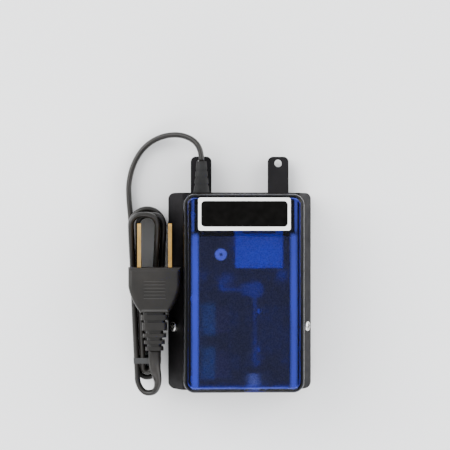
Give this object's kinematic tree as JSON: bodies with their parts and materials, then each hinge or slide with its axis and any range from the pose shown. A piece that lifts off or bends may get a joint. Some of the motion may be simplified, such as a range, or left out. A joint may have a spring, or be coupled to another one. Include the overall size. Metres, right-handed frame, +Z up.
{
  "type": "aquarium air pump",
  "caption": "Small box-shaped diaphragm air pump with a translucent blue cover on a black sloped base with hanging ears, an outlet nipple in a pocket, and a hanked mains cord with a flat plug.",
  "frame": {"origin": "middle of the bottom of the pump's own box, hanging ears included, at the height its feet stand on", "axes": "+Z up through the cover's roof, +Y towards the hanging ears and the mains cord, -Y the way the air outlet points"},
  "size_m": [0.0787, 0.1108, 0.0404],
  "materials": {
    "cover_blue": "translucent blue, smooth round the edges and pebbled on the roof",
    "case_black": "black moulded plastic with a fine spark-eroded grain",
    "label_print": "white printed label with a black panel, laminated",
    "foot_rubber": "soft dull black rubber",
    "plated_screw": "nickel plated, slightly worn in the recess",
    "grey_felt": "pressed felt",
    "chassis_grey": "dark grey moulded plastic",
    "black_rubber": "moulded rubber",
    "core_steel": "varnished stack of thin steel sheets",
    "white_nylon": "natural white nylon",
    "copper_wire": "lacquered copper wire",
    "coil_tape": "yellow-green polyester tape",
    "arm_steel": "bright spring steel",
    "ferrite": "dark sintered ferrite",
    "lead_insulation": "black wire insulation",
    "cord_jacket": "satin black vinyl",
    "tie_wire": "black plastic-coated twist tie",
    "blade_brass": "bright brass"
  },
  "bodies": {
    "root": {"top_cover": "cover_blue", "base_skirt": "case_black", "bottom_plate": "case_black", "roof_label": "label_print", "rubber_foot_1": "foot_rubber", "rubber_foot_2": "foot_rubber", "rubber_foot_3": "foot_rubber", "rubber_foot_4": "foot_rubber", "case_screw": "plated_screw", "shoulder_screws": "plated_screw", "intake_felt": "grey_felt", "intake_cap": "case_black", "inner_chassis": "chassis_grey", "suspension_bushes": "black_rubber", "chassis_screws": "plated_screw", "core_laminations": "core_steel", "core_screws": "plated_screw", "coil_bobbin_front": "white_nylon", "coil_winding_front": "copper_wire", "coil_tape_front": "coil_tape", "coil_bobbin_rear": "white_nylon", "coil_winding_rear": "copper_wire", "coil_tape_rear": "coil_tape", "pivot_bracket": "arm_steel", "bracket_screw": "plated_screw", "pivot_pin": "arm_steel", "diaphragm": "black_rubber", "diaphragm_ring": "white_nylon", "pump_chamber": "white_nylon", "valve_plate": "white_nylon", "flap_clips": "white_nylon", "valve_manifold": "white_nylon", "chamber_screws": "plated_screw", "outlet_nipple": "white_nylon", "outlet_elbow": "black_rubber", "silencer_box": "white_nylon", "silencer_felt": "grey_felt", "silencer_lid": "white_nylon", "cord_strain_relief": "black_rubber", "cord_inside": "cord_jacket", "cord_clamp": "chassis_grey", "clamp_screws": "plated_screw", "coil_leads": "lead_insulation", "cord_lead": "cord_jacket", "cord_tail": "cord_jacket", "cord_hank": "cord_jacket", "hank_tie": "tie_wire", "plug_body": "cord_jacket", "plug_relief": "cord_jacket", "plug_blades": "blade_brass"},
    "arm": {"swing_arm": "arm_steel", "pivot_bush": "black_rubber", "magnet_holder": "white_nylon", "magnets": "ferrite", "diaphragm_button": "white_nylon", "diaphragm_screw": "plated_screw", "diaphragm_clamp_disc": "white_nylon"},
    "inlet_valve": {"inlet_flap": "black_rubber"},
    "outlet_valve": {"outlet_flap": "black_rubber"}
  },
  "joints": [
    {"name": "arm_swing", "type": "hinge", "parent": "root", "child": "arm", "pos_m": [0.0048, -0.00645, 0.026], "axis": [0, 0, 1], "range_deg": [-1.8, 1.8], "stiffness_Nm_per_rad": 0.2, "deforming": ["diaphragm"]},
    {"name": "inlet_flap_lift", "type": "hinge", "parent": "root", "child": "inlet_valve", "pos_m": [0.01167, -0.01895, 0.029], "axis": [0, 1, 0], "range_deg": [0, 20], "stiffness_Nm_per_rad": 0.0002},
    {"name": "outlet_flap_lift", "type": "hinge", "parent": "root", "child": "outlet_valve", "pos_m": [0.01433, -0.02715, 0.029], "axis": [0, -1, 0], "range_deg": [0, 20], "stiffness_Nm_per_rad": 0.0002}
  ]
}
